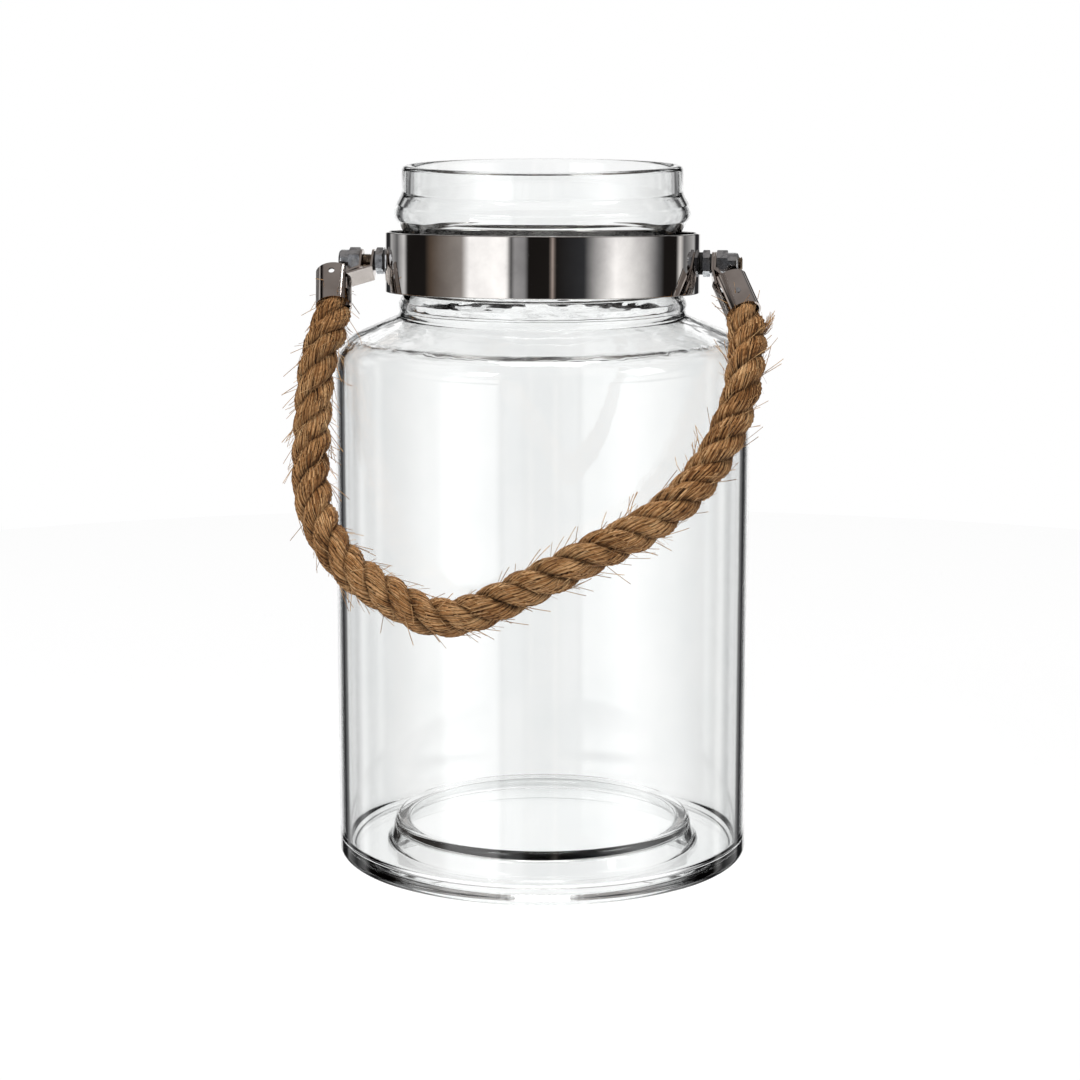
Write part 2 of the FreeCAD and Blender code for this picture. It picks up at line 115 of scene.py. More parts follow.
class Graph:
    """The node tree of one material or world."""

    def __init__(self, tree: bpy.types.NodeTree) -> None:
        """Empties the tree and keeps it."""
        tree.nodes.clear()
        self.tree = tree

    def add(self, kind: str, settings: dict[str, Any], values: dict[Any, Any],
            output: Any = 0) -> Wire:
        """Adds a node.

        Args:
            kind: The node's type.
            settings: Properties, or "stops" for a colour ramp as (position, colour) pairs.
            values: Socket name or index to a constant or a wire.
            output: Name or index of the output to return.

        Returns:
            The chosen output.
        """
        node = self.tree.nodes.new(kind)
        for key, value in settings.items():
            if key == "stops":
                ramp = node.color_ramp
                while len(ramp.elements) < len(value):
                    ramp.elements.new(0.5)
                for element, (position, colour) in zip(ramp.elements, value):
                    element.position = position
                    element.color = colour
            else:
                setattr(node, key, value)
        for key, value in values.items():
            if isinstance(value, Wire):
                self.tree.links.new(value.socket, node.inputs[key])
            else:
                node.inputs[key].default_value = value
        return Wire(self, node.outputs[output] if len(node.outputs) else None)

    def place(self) -> Wire:
        """The surface point in the piece's own coordinates."""
        return self.add("ShaderNodeTexCoord", {}, {}, "Object")

    def ray(self, word: str) -> Wire:
        """What the Light Path node says of the ray, such as "Is Camera Ray"."""
        return self.add("ShaderNodeLightPath", {}, {}, word)

    def part(self, vector: Wire, axis: str) -> Wire:
        """One coordinate of a vector: "X", "Y" or "Z"."""
        return self.add("ShaderNodeSeparateXYZ", {}, {"Vector": vector}, axis)

    def stretched(self, vector: Wire, scale: Point) -> Wire:
        """A vector scaled along each axis.

        Args:
            vector: What to scale.
            scale: Factor along each axis.

        Returns:
            The scaled vector.
        """
        return self.add("ShaderNodeMapping", {}, {"Vector": vector, "Scale": scale})

    def noise(self, vector: Wire, scale: float, detail: float = 3.0, roughness: float = 0.55) -> Wire:
        """Fractal noise between about 0.3 and 0.7.

        Args:
            vector: Where it is read.
            scale: Cells in a metre.
            detail: Octaves.
            roughness: Weight of the fine octaves.

        Returns:
            The noise value.
        """
        return self.add("ShaderNodeTexNoise", {}, {"Vector": vector, "Scale": scale,
                                                   "Detail": detail, "Roughness": roughness})

    def spread(self, value: Wire, low: float, high: float, to_low: float = 0.0,
               to_high: float = 1.0) -> Wire:
        """Maps one range to another, clamped.

        Args:
            value: What to map.
            low: Start of its range.
            high: End of its range.
            to_low: What low becomes.
            to_high: What high becomes.

        Returns:
            The mapped value.
        """
        return self.add("ShaderNodeMapRange", {}, {"Value": value, "From Min": low, "From Max": high,
                                                   "To Min": to_low, "To Max": to_high})

    def blend(self, share: Any, first: Any, second: Any, mode: str = "MIX") -> Wire:
        """Mixes two colours.

        Args:
            share: How much of the second, 0 to 1.
            first: Colour or wire.
            second: Colour or wire.
            mode: Blend mode.

        Returns:
            The mixed colour.
        """
        return self.add("ShaderNodeMix", {"data_type": "RGBA", "blend_type": mode},
                        {0: share, 6: first, 7: second}, 2)

    def bump(self, height: Wire, strength: float, distance: float) -> Wire:
        """A normal from a height.

        Args:
            height: Height, 0 to 1.
            strength: Share of the effect.
            distance: Depth in metres of a height of 1.

        Returns:
            The bent normal.
        """
        return self.add("ShaderNodeBump", {}, {"Height": height, "Strength": strength,
                                               "Distance": distance})

    def surface(self, values: dict[str, Any]) -> None:
        """Ends the tree in one Principled surface with these socket values."""
        shader = self.add("ShaderNodeBsdfPrincipled", {}, values)
        self.add("ShaderNodeOutputMaterial", {"is_active_output": True}, {"Surface": shader})


@dataclass(frozen=True)
class Finish:
    """A procedural material; each kind paints its own node tree."""

    name: str

    def paint(self, graph: Graph) -> None:
        """Fills the material's tree.

        Args:
            graph: The tree.
        """
        raise NotImplementedError

    def build(self) -> bpy.types.Material:
        """The material."""
        material = bpy.data.materials.new(self.name)
        material.use_nodes = True
        self.paint(Graph(material.node_tree))
        return material


@dataclass(frozen=True)
class ClearGlass(Finish):
    """Pressed clear glass with a faint waviness, fingertip haze and flow marks round the shoulder."""

    name: str = "clear_glass"
    clear: Colour = (0.985, 0.992, 0.99, 1.0)
    dusty: Colour = (0.955, 0.968, 0.968, 1.0)
    index: float = 1.5
    wave_scale: float = 26.0
    wave_depth: float = 0.00010
    smear_scale: float = 38.0
    haze: float = 0.006
    flow_scale: float = 55.0
    flow_depth: float = 9.0
    flow_foot: tuple[float, float] = (0.221, 0.231)
    flow_top: tuple[float, float] = (0.262, 0.246)

    def paint(self, graph: Graph) -> None:
        """Waves, smears and flow marks."""
        place = graph.place()
        wave = graph.noise(graph.stretched(place, (1.0, 1.0, 0.55)), self.wave_scale, 1.5)
        smear = graph.noise(place, self.smear_scale, 5.0)
        height = graph.part(place, "Z")
        shoulder = graph.spread(height, *self.flow_foot) * graph.spread(height, *self.flow_top)
        flow = graph.noise(graph.stretched(place, (1.0, 1.0, 2.6)), self.flow_scale, 2.0) * shoulder
        graph.surface({
            "Base Color": graph.blend(graph.spread(smear, 0.45, 0.75), self.clear, self.dusty),
            "Roughness": graph.spread(smear, 0.58, 0.8, 0.0, self.haze),
            "Normal": graph.bump(wave + flow * self.flow_depth, 0.35, self.wave_depth),
            "IOR": self.index,
            "Transmission Weight": 1.0,
        })


@dataclass(frozen=True)
class PolishedSteel(Finish):
    """Steel sheet polished to a mirror, with fine rubbing marks and a warm or cold cast."""

    name: str = "polished_steel"
    light: Colour = (0.66, 0.64, 0.62, 1.0)
    dark: Colour = (0.52, 0.50, 0.49, 1.0)
    smooth: float = 0.012
    worn: float = 0.07
    brushed_along: Point = (30.0, 30.0, 900.0)
    cloud_scale: float = 60.0
    scratched_along: Point = (90.0, 400.0, 90.0)
    scratch_roughness: float = 0.05

    def paint(self, graph: Graph) -> None:
        """Clouds, rubbing marks and scratches."""
        place = graph.place()
        rub = graph.noise(graph.stretched(place, self.brushed_along), 1.0, 4.0)
        cloud = graph.noise(place, self.cloud_scale, 4.0)
        lines = graph.noise(graph.stretched(place, self.scratched_along), 3.0, 2.0)
        scratch = graph.spread(lines, 0.60, 0.72) * self.scratch_roughness
        graph.surface({
            "Base Color": graph.blend(graph.spread(cloud, 0.35, 0.7), self.light, self.dark),
            "Metallic": 1.0,
            "Roughness": graph.spread(cloud, 0.45, 0.8, self.smooth, self.worn) + scratch,
            "Normal": graph.bump(rub + cloud * 2.0, 0.12, 0.00003),
        })


@dataclass(frozen=True)
class ZincPlate(Finish):
    """Satin zinc plating with faint spangle, darker in its pits."""

    name: str = "zinc_plate"
    light: Colour = (0.56, 0.57, 0.59, 1.0)
    dark: Colour = (0.24, 0.25, 0.27, 1.0)
    tint: Colour = (0.30, 0.22, 0.13, 1.0)
    stain: float = 0.25
    pit_scale: float = 420.0
    spangle_scale: float = 900.0
    stain_scale: float = 130.0

    def paint(self, graph: Graph) -> None:
        """Spangle, pits and stains."""
        place = graph.place()
        cloud = graph.noise(place, self.pit_scale, 5.0)
        spangle = graph.add("ShaderNodeTexVoronoi", {}, {"Vector": place, "Scale": self.spangle_scale},
                            "Distance")
        plain = graph.blend(graph.spread(cloud, 0.42, 0.72), self.light, self.dark)
        stained = graph.spread(graph.noise(place, self.stain_scale, 3.0), 0.55, 0.7, 0.0, self.stain)
        graph.surface({
            "Base Color": graph.blend(stained, plain, self.tint),
            "Metallic": 1.0,
            "Roughness": graph.spread(cloud, 0.3, 0.7, 0.10, 0.24) + spangle * 0.05,
            "Normal": graph.bump(cloud + spangle * 0.4, 0.16, 0.00005),
        })


@dataclass(frozen=True)
class BlackMoulding(Finish):
    """Black rubber or nylon with a fine moulded grain and grey rubbing."""

    name: str = "black_rubber"
    base: Colour = (0.018, 0.018, 0.018, 1.0)
    rubbed: Colour = (0.075, 0.072, 0.07, 1.0)
    roughness: float = 0.6
    grain_scale: float = 2600.0
    rub_scale: float = 260.0

    def paint(self, graph: Graph) -> None:
        """Grain and rubbed places."""
        place = graph.place()
        grain = graph.noise(place, self.grain_scale, 3.0)
        rub = graph.noise(place, self.rub_scale, 4.0)
        graph.surface({
            "Base Color": graph.blend(graph.spread(rub, 0.5, 0.75), self.base, self.rubbed),
            "Roughness": graph.spread(rub, 0.3, 0.7, self.roughness - 0.1, self.roughness + 0.15),
            "Normal": graph.bump(grain, 0.3, 0.00005),
        })


@dataclass(frozen=True)
class RopeFibre(Finish):
    """Natural rope fibre: fine streaks along each yarn, painted shade where strands meet, in the grooves
    between yarns and in thin slits, and a painted highlight on each yarn's crown.
    """

    name: str = "rope_fibre"
    dark: Colour = (0.022, 0.008, 0.003, 1.0)
    brown: Colour = (0.17, 0.066, 0.020, 1.0)
    middle: Colour = (0.46, 0.222, 0.083, 1.0)
    light: Colour = (0.95, 0.62, 0.32, 1.0)
    streaks_across: float = 95.0
    streaks_along: float = 90.0
    yarns: float = 16.0
    patch_scale: float = 70.0
    wander_cells: Point = (60.0, 5.0, 1.0)
    wander_depth: float = 0.10
    slit_cells: Point = (170.0, 42.0, 1.0)
    # The next three values set painted shade: how dark the slits, the gaps between strands and the grooves
    # between yarns are painted.
    slit_shade: float = 0.85
    strand_gap: float = 0.03
    yarn_gap: float = 0.22
    relief: float = 0.0007
    gloss: float = 0.18

    def paint(self, graph: Graph) -> None:
        """Streaks, painted shade in slits and in the gaps between strands and yarns, and a painted highlight
        on yarn crowns.
        """
        laid = graph.add("ShaderNodeUVMap", {"uv_map": "fibre"}, {})
        tone, proud = (graph.add("ShaderNodeAttribute", {"attribute_name": word}, {}, "Fac")
                       for word in ("tone", "proud"))
        cells = (self.streaks_along, self.streaks_across, 1.0)
        broad_cells = (self.streaks_along * 0.6, self.streaks_across * 0.28, 1.0)
        fine = graph.noise(graph.stretched(laid, cells), 1.0, 4.0, 0.6)
        broad = graph.noise(graph.stretched(laid, broad_cells), 1.0, 2.0)
        patch = graph.noise(graph.place(), self.patch_scale, 3.0)
        wander = graph.noise(graph.stretched(laid, self.wander_cells), 1.0, 2.0) * self.wander_depth
        within = ((graph.part(laid, "Y") + wander) * self.yarns).fraction() * 2.0 - 1.0
        crown = 1.0 - within * within
        streak = graph.spread(fine * 0.65 + broad * 0.35, 0.41, 0.60)
        # The crown term is a painted highlight on each yarn's crown and painted shade towards its grooves;
        # streak, tone and patch are the fibre's own colour.
        shade = (streak * 0.50 + tone * 0.14 + graph.spread(patch, 0.35, 0.68) * 0.20
                 + graph.spread(crown, 0.0, 0.45) * 0.16)
        colour = graph.add("ShaderNodeValToRGB", {"stops": [
            (0.0, self.dark), (0.28, self.brown), (0.52, self.middle), (1.0, self.light)]}, {0: shade})
        # Painted shade: thin slits between fibres are blended towards near black.
        slit = graph.spread(graph.noise(graph.stretched(laid, self.slit_cells), 1.0, 1.0), 0.565, 0.62)
        colour = graph.blend(slit * self.slit_shade, colour, self.dark)
        # Painted shade: the colour is darkened deep between strands, where proud is low, and in the grooves
        # between yarns.
        gap = graph.spread(proud, 0.68, 0.95, self.strand_gap, 1.0)
        gap = gap * graph.spread(crown, 0.02, 0.40, self.yarn_gap, 1.0)
        grey = graph.add("ShaderNodeCombineColor", {}, {0: gap, 1: gap, 2: gap})
        graph.surface({
            "Base Color": graph.blend(1.0, colour, grey, "MULTIPLY"),
            "Roughness": graph.spread(fine, 0.3, 0.7, 0.5, 0.78),
            "Normal": graph.bump(streak * 0.5 + crown * 0.8 - slit * 0.8, 1.0, self.relief),
            "Specular IOR Level": self.gloss,
        })


@dataclass(frozen=True)
class LooseFibre(Finish):
    """Single loose fibres, lighter than the rope."""

    name: str = "loose_fibre"
    light: Colour = (0.60, 0.37, 0.17, 1.0)
    dark: Colour = (0.22, 0.10, 0.038, 1.0)
    cloud_scale: float = 240.0

    def paint(self, graph: Graph) -> None:
        """Cloudy tone."""
        cloud = graph.noise(graph.place(), self.cloud_scale, 3.0)
        graph.surface({
            "Base Color": graph.blend(graph.spread(cloud, 0.35, 0.65), self.dark, self.light),
            "Roughness": graph.spread(cloud, 0.3, 0.7, 0.5, 0.7),
        })


@dataclass(frozen=True)
class PaleFloor(Finish):
    """Plain white studio floor; rays that the lantern bends or mirrors pass through it."""

    name: str = "pale_floor"
    base: Colour = (0.93, 0.93, 0.93, 1.0)
    shade: Colour = (0.90, 0.90, 0.90, 1.0)
    cloud_scale: float = 3.0
    roughness: float = 0.7
    glow: float = 0.85

    def paint(self, graph: Graph) -> None:
        """White paint with a glow, and open air for bent or mirrored rays."""
        cloud = graph.noise(graph.place(), self.cloud_scale, 2.0)
        paint = graph.add("ShaderNodeBsdfPrincipled", {}, {
            "Base Color": graph.blend(cloud, self.base, self.shade), "Roughness": self.roughness})
        white = graph.add("ShaderNodeEmission", {}, {"Color": (1.0, 1.0, 1.0, 1.0), "Strength": 1.0})
        glowing = graph.ray("Is Camera Ray") * self.glow
        shown = graph.add("ShaderNodeMixShader", {}, {0: glowing, 1: paint, 2: white})
        open_air = graph.add("ShaderNodeBsdfTransparent", {}, {})
        passing = graph.ray("Is Transmission Ray").largest(graph.ray("Is Glossy Ray"))
        through = graph.add("ShaderNodeMixShader", {}, {0: passing, 1: shown, 2: open_air})
        graph.add("ShaderNodeOutputMaterial", {}, {"Surface": through})


def dress(thing: bpy.types.Object, material: bpy.types.Material) -> None:
    """Gives an object one material in every slot.

    Args:
        thing: The object.
        material: Its new material.
    """
    if not thing.material_slots:
        thing.data.materials.append(material)
    for material_slot in thing.material_slots:
        material_slot.material = material


def mesh_object(name: str, verts: Array, faces: Iterable[Sequence[int]],
                smooth: bool = True) -> bpy.types.Object:
    """A new mesh object at the origin.

    Args:
        name: Its name.
        verts: Points, one row each.
        faces: Corner indices of each face.
        smooth: Whether its faces are shaded smooth.

    Returns:
        The object.
    """
    mesh = bpy.data.meshes.new(name)
    mesh.from_pydata([tuple(map(float, vert)) for vert in verts], [], [tuple(face) for face in faces])
    mesh.validate()
    mesh.polygons.foreach_set("use_smooth", [smooth] * len(mesh.polygons))
    thing = bpy.data.objects.new(name, mesh)
    bpy.context.scene.collection.objects.link(thing)
    return thing


def rounded_profile(corners: Sequence[Point], step: float) -> list[tuple[float, float]]:
    """Samples a profile of straight lines with rounded corners.

    Args:
        corners: (radius, height, rounding) in millimetres.
        step: Angle in degrees between samples of an arc.

    Returns:
        (radius, height) points in metres.
    """
    points: list[tuple[float, float]] = []
    for i, (radius, height, rounding) in enumerate(corners):
        here = Vector((radius, height))
        if not rounding or i in (0, len(corners) - 1):
            points.append((radius * MM, height * MM))
            continue
        back = (Vector(corners[i - 1][:2]) - here).normalized()
        ahead = (Vector(corners[i + 1][:2]) - here).normalized()
        half = back.angle(ahead) / 2
        middle = here + (back + ahead).normalized() * (rounding / math.sin(half))
        first = here + back * (rounding / math.tan(half)) - middle
        last = here + ahead * (rounding / math.tan(half)) - middle
        turn = first.angle_signed(last)
        count = max(2, math.ceil(abs(math.degrees(turn)) / step))
        for k in range(count + 1):
            spoke = Matrix.Rotation(-turn * k / count, 2) @ first
            points.append(((middle.x + spoke.x) * MM, (middle.y + spoke.y) * MM))
    return points


def lathe(name: str, profile: Sequence[tuple[float, float]],
          segments: int) -> bpy.types.Object:
    """Turns a profile about Z.

    Args:
        name: The new object's name.
        profile: (radius, height) points in metres; both ends lie on the axis.
        segments: Steps round the axis.

    Returns:
        The turned object, faces outwards.
    """
    rings = profile[1:-1]
    angles = np.arange(segments) * 2 * math.pi / segments
    verts = np.array([(r * math.cos(a), r * math.sin(a), z) for r, z in rings for a in angles])
    count = len(rings)
    faces: list[Sequence[int]] = []
    for i in range(count - 1):
        j = i + 1
        for k in range(segments):
            m = (k + 1) % segments
            faces.append((i * segments + k, i * segments + m, j * segments + m, j * segments + k))
    verts = np.vstack([verts, [(0, 0, profile[0][1]), (0, 0, profile[-1][1])]])
    low, high = count * segments, count * segments + 1
    last = (count - 1) * segments
    for k in range(segments):
        m = (k + 1) % segments
        faces.append((k, low, m))
        faces.append((last + k, last + m, high))
    thing = mesh_object(name, verts, faces)
    point_outwards(thing)
    return thing


def point_outwards(thing: bpy.types.Object) -> None:
    """Makes every face of a closed mesh point outwards."""
    work = bmesh.new()
    work.from_mesh(thing.data)
    bmesh.ops.recalc_face_normals(work, faces=work.faces)
    work.to_mesh(thing.data)
    work.free()


class GeometryTree:
    """A Geometry Nodes tree with named inputs, run once on an object."""

    def __init__(self, name: str, inputs: dict[str, tuple[str, Any]]) -> None:
        """Makes the tree.

        Args:
            name: The tree's name.
            inputs: Input name to its socket type and its value.
        """
        self.tree = bpy.data.node_groups.new(name, "GeometryNodeTree")
        self.values = inputs
        self.tree.interface.new_socket("Geometry", in_out="INPUT", socket_type="NodeSocketGeometry")
        for word, (kind, _) in inputs.items():
            self.tree.interface.new_socket(word, in_out="INPUT", socket_type=kind)
        self.tree.interface.new_socket("Geometry", in_out="OUTPUT", socket_type="NodeSocketGeometry")
        self.source = self.tree.nodes.new("NodeGroupInput")
        self.sink = self.tree.nodes.new("NodeGroupOutput")

    def add(self, kind: str, settings: dict[str, Any], values: dict[Any, Any]) -> bpy.types.Node:
        """Adds a node.

        Args:
            kind: The node's type.
            settings: Its properties, set first.
            values: Socket to a constant, an output socket, or a node for its first output.

        Returns:
            The node.
        """
        node = self.tree.nodes.new(kind)
        for key, value in settings.items():
            setattr(node, key, value)
        for key, value in values.items():
            if isinstance(value, bpy.types.Node):
                value = value.outputs[0]
            if isinstance(value, bpy.types.NodeSocket):
                self.tree.links.new(value, node.inputs[key])
            else:
                node.inputs[key].default_value = value
        return node

    def given(self, word: str) -> bpy.types.NodeSocket:
        """The group input's socket of that name."""
        return self.source.outputs[word]

    def finish(self, geometry: bpy.types.Node, material: bpy.types.NodeSocket) -> None:
        """Ends the tree in Realize Instances and Set Material."""
        real = self.add("GeometryNodeRealizeInstances", {}, {"Geometry": geometry})
        done = self.add("GeometryNodeSetMaterial", {}, {"Geometry": real, "Material": material})
        self.tree.links.new(done.outputs[0], self.sink.inputs[0])

    def run(self, name: str, host: bpy.types.Object) -> bpy.types.Object:
        """Runs the tree on a host object.

        Args:
            name: Name of the new piece.
            host: The object whose geometry goes in; it is left as it was.

        Returns:
            A plain mesh object with the result.
        """
        modifier = host.modifiers.new("growth", "NODES")
        modifier.node_group = self.tree
        for item in self.tree.interface.items_tree:
            if item.in_out == "INPUT" and item.name in self.values:
                modifier[item.identifier] = self.values[item.name][1]
        host.update_tag()
        graph = bpy.context.evaluated_depsgraph_get()
        graph.update()
        mesh = bpy.data.meshes.new_from_object(host.evaluated_get(graph))
        mesh.name = name
        host.modifiers.remove(modifier)
        thing = bpy.data.objects.new(name, mesh)
        bpy.context.scene.collection.objects.link(thing)
        mesh.polygons.foreach_set("use_smooth", [True] * len(mesh.polygons))
        return thing


@dataclass(frozen=True)
class Lamp:
    """A square soft lamp that faces the lantern and shows in no mirror."""

    name: str
    at: Point
    size: float
    power: float
    aim: Point = (0.0, 0.0, 0.2)

    def build(self) -> None:
        """Hangs the lamp."""
        data = bpy.data.lights.new(self.name, "AREA")
        data.shape = "SQUARE"
        data.size = self.size
        data.energy = self.power
        lamp = bpy.data.objects.new(self.name, data)
        lamp.location = self.at
        lamp.visible_glossy = False
        lamp.rotation_euler = (Vector(self.aim) - Vector(self.at)).to_track_quat("-Z", "Y").to_euler()
        bpy.context.scene.collection.objects.link(lamp)


@dataclass
class Studio:
    """Camera, floor and soft light."""

    camera_at: Point = (-0.0011, -1.2363, 0.3637)
    camera_pitch: float = -10.286
    camera_lens: float = 95.56
    camera_sensor: float = 36.0
    camera_clip: float = 0.01
    floor_radius: float = 0.9
    floor_sides: int = 96
    fill: Colour = (0.34, 0.34, 0.34, 1.0)
    overhead: Colour = (0.34, 0.32, 0.31, 1.0)
    underneath: Colour = (1.15, 1.15, 1.15, 1.0)
    straight_through: Colour = (1.02, 1.02, 1.02, 1.0)
    backdrop: Colour = (1.0, 1.0, 1.0, 1.0)
    bounces: int = 24
    lamps: tuple[Lamp, ...] = (
        Lamp("lamp_left", (-1.0, -1.2, 1.6), 0.5, 24.0),
        Lamp("lamp_right", (1.5, -0.6, 1.5), 0.7, 9.0),
        Lamp("lamp_top", (0.0, 0.3, 2.4), 1.0, 26.0),
    )

    def build_camera(self) -> None:
        """Places the camera."""
        data = bpy.data.cameras.new("camera")
        data.lens = self.camera_lens
        data.sensor_width = self.camera_sensor
        data.clip_start = self.camera_clip
        camera = bpy.data.objects.new("camera", data)
        camera.location = self.camera_at
        camera.rotation_euler = (math.radians(90 + self.camera_pitch), 0.0, 0.0)
        bpy.context.scene.collection.objects.link(camera)
        bpy.context.scene.camera = camera

    def build_floor(self) -> None:
        """Lays the floor."""
        angles = np.arange(self.floor_sides) * 2 * math.pi / self.floor_sides
        circle = [np.cos(angles), np.sin(angles), np.zeros(self.floor_sides)]
        rim = np.stack(circle, axis=1) * self.floor_radius
        floor = mesh_object("studio_floor", rim, [range(self.floor_sides)], smooth=False)
        dress(floor, PaleFloor().build())

    def build_light(self) -> None:
        """Lights the set: panels round the horizon with dark gaps between them, and soft lamps above.

        Polished steel and the edges of the glass show the panels. Rays that only pass through glass,
        without a mirror on the way, see plain white, so that the jar stays clear from every side.
        """
        world = bpy.data.worlds.new("studio")
        bpy.context.scene.world = world
        world.use_nodes = True
        graph = Graph(world.node_tree)
        seen = graph.blend(graph.ray("Is Camera Ray"), self.light_on_pieces(graph), self.backdrop)
        light = graph.add("ShaderNodeBackground", {}, {"Color": seen, "Strength": 1.0})
        graph.add("ShaderNodeOutputWorld", {}, {"Surface": light})
        for lamp in self.lamps:
            lamp.build()
        scene = bpy.context.scene
        scene.cycles.max_bounces = self.bounces
        scene.cycles.transmission_bounces = self.bounces
        scene.view_settings.view_transform = "Standard"
        scene.view_settings.look = "None"

    def light_on_pieces(self, graph: Graph) -> Wire:
        """The colour that rays from the lantern meet.

        Args:
            graph: The world's tree.

        Returns:
            The colour.
        """
        direction = graph.add("ShaderNodeTexCoord", {}, {}, "Generated")
        rightwards, backwards, height = (graph.part(direction, axis) for axis in "XYZ")
        bearing = graph.add("ShaderNodeMath", {"operation": "ARCTAN2"}, {0: rightwards, 1: backwards * -1.0})
        turn = graph.spread(bearing, -math.pi, math.pi)
        panels = graph.add("ShaderNodeValToRGB", {"stops": self.panels()}, {0: turn})
        level = graph.spread(height, -1.0, 1.0)
        tiers = graph.add("ShaderNodeValToRGB", {"stops": self.tiers()}, {0: level})
        around = graph.blend(1.0, panels, tiers, "MULTIPLY")
        covered = graph.blend(graph.spread(height, 0.56, 0.66), around, self.overhead)
        dome = graph.blend(graph.spread(height, -0.66, -0.76), covered, self.underneath)
        unmirrored = graph.ray("Is Transmission Ray") * graph.ray("Glossy Depth").below(0.5)
        clear = graph.blend(unmirrored, dome, self.straight_through)
        return graph.blend(graph.ray("Is Diffuse Ray"), clear, self.fill)

    def panels(self) -> list[tuple[float, Colour]]:
        """Stops of the light round the horizon, from behind over the left, front and right."""
        black = (0.016, 0.014, 0.013)
        gap = (0.03, 0.03, 0.032)
        grey = (0.16, 0.16, 0.165)
        back = (1.12, 1.12, 1.12)
        white = (1.6, 1.6, 1.6)
        stops = [
            (-161, back), (-158, gap), (-147, gap), (-143, (0.6, 0.6, 0.6)), (-131, grey),
            (-120, (0.9, 0.9, 0.9)), (-115, black), (-94, black), (-88, (0.12, 0.088, 0.066)),
            (-60, (0.40, 0.37, 0.35)), (-54, white), (-26, white), (-23, (0.05, 0.05, 0.05)),
            (-20, (0.46, 0.46, 0.47)), (-13, (0.38, 0.38, 0.39)), (-10, black), (5, black),
            (7, (0.5, 0.42, 0.38)), (9, black), (30, (0.045, 0.047, 0.052)), (44, (0.9, 0.9, 0.9)),
            (54, white), (78, (0.85, 0.85, 0.85)), (92, grey), (98, black), (113, black),
            (118, (1.0, 0.98, 0.96)), (124, grey), (143, (0.6, 0.6, 0.6)), (147, gap), (158, gap),
            (161, back),
        ]
        return [((angle + 180) / 360, (*colour, 1.0)) for angle, colour in stops]

    def tiers(self) -> list[tuple[float, Colour]]:
        """Stops of the light from straight down to straight up."""
        stops = [(-1.0, 1.0), (-0.64, 1.0), (-0.61, 0.12), (-0.52, 0.12), (-0.49, 1.0), (-0.42, 1.0),
                 (-0.40, 0.3), (-0.37, 1.0), (0.10, 1.0), (0.14, 0.08),
                 (0.20, 0.08), (0.24, 1.0), (0.40, 1.0), (0.44, 0.1), (0.50, 0.1), (0.54, 0.9), (1.0, 0.9)]
        return [((height + 1) / 2, (value, value, value, 1.0)) for height, value in stops]


@dataclass
class GlassJar:
    """The clear jar, turned again at a fine step so that its edges read cleanly."""

    height: float = 302.5
    body_radius: float = 90.0
    wall: float = 4.0
    neck_radius: float = 59.5
    slope: float = 22.6
    shoulder_z: float = 239.5
    hollow: float = 12.0
    hollow_radius: float = 65.0
    floor_z: float = 6.5
    disc_z: float = 17.0
    bead_radius: float = 62.4
    bead_z: float = 243.4
    groove: tuple[float, float] = (249.0, 274.0)
    bulge_radius: float = 64.6
    bulge_z: float = 282.6
    lip_radius: float = 60.3
    lip_low: float = 290.8
    segments: int = 256
    step: float = 6.0

    def slope_height(self, radius: float) -> float:
        """Height of the outer shoulder line at a radius."""
        return self.shoulder_z - (radius - self.neck_radius) * math.tan(math.radians(self.slope))

    def profile(self) -> list[Point]:
        """Corners of the section, from the underside's middle round to the floor's middle."""
        drop = self.wall / math.cos(math.radians(self.slope))
        inner = self.neck_radius - self.wall
        bore = self.body_radius - self.wall
        low, high = self.groove
        outside = [
            (0, self.hollow, 0), (self.hollow_radius - 5, self.hollow, 2.5), (self.hollow_radius, 0, 2.5),
            (self.body_radius, 0, 4), (self.body_radius, self.slope_height(self.body_radius), 15),
            (61, self.slope_height(61), 3), (self.bead_radius, self.bead_z, 4), (self.neck_radius, low, 2),
            (self.neck_radius, high, 2.5), (self.bulge_radius, self.bulge_z, 6),
            (self.lip_radius, self.lip_low, 2.5), (self.lip_radius, self.height, 2),
        ]
        inside = [
            (inner, self.height, 2), (inner, self.lip_low, 2.5),
            (self.bulge_radius - self.wall, self.bulge_z, 4), (inner, high, 3), (inner, low, 3),
            (self.bead_radius - self.wall, self.bead_z, 3),
            (inner + 2, self.slope_height(inner + 2) - drop, 2), (bore, self.slope_height(bore) - drop, 11),
            (bore, self.floor_z, 4.5), (self.hollow_radius + 2.5, self.floor_z, 2.5),
            (self.hollow_radius, self.disc_z, 2.5), (0, self.disc_z, 0),
        ]
        return outside + inside

    def build(self) -> None:
        """Makes and dresses the jar."""
        jar = lathe("jar_glass", rounded_profile(self.profile(), self.step), self.segments)
        dress(jar, ClearGlass().build())
        jar.visible_shadow = False
        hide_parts("glass_jar")
        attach(jar, "jar")
        LOG.info("jar_glass: %d faces", len(jar.data.polygons))


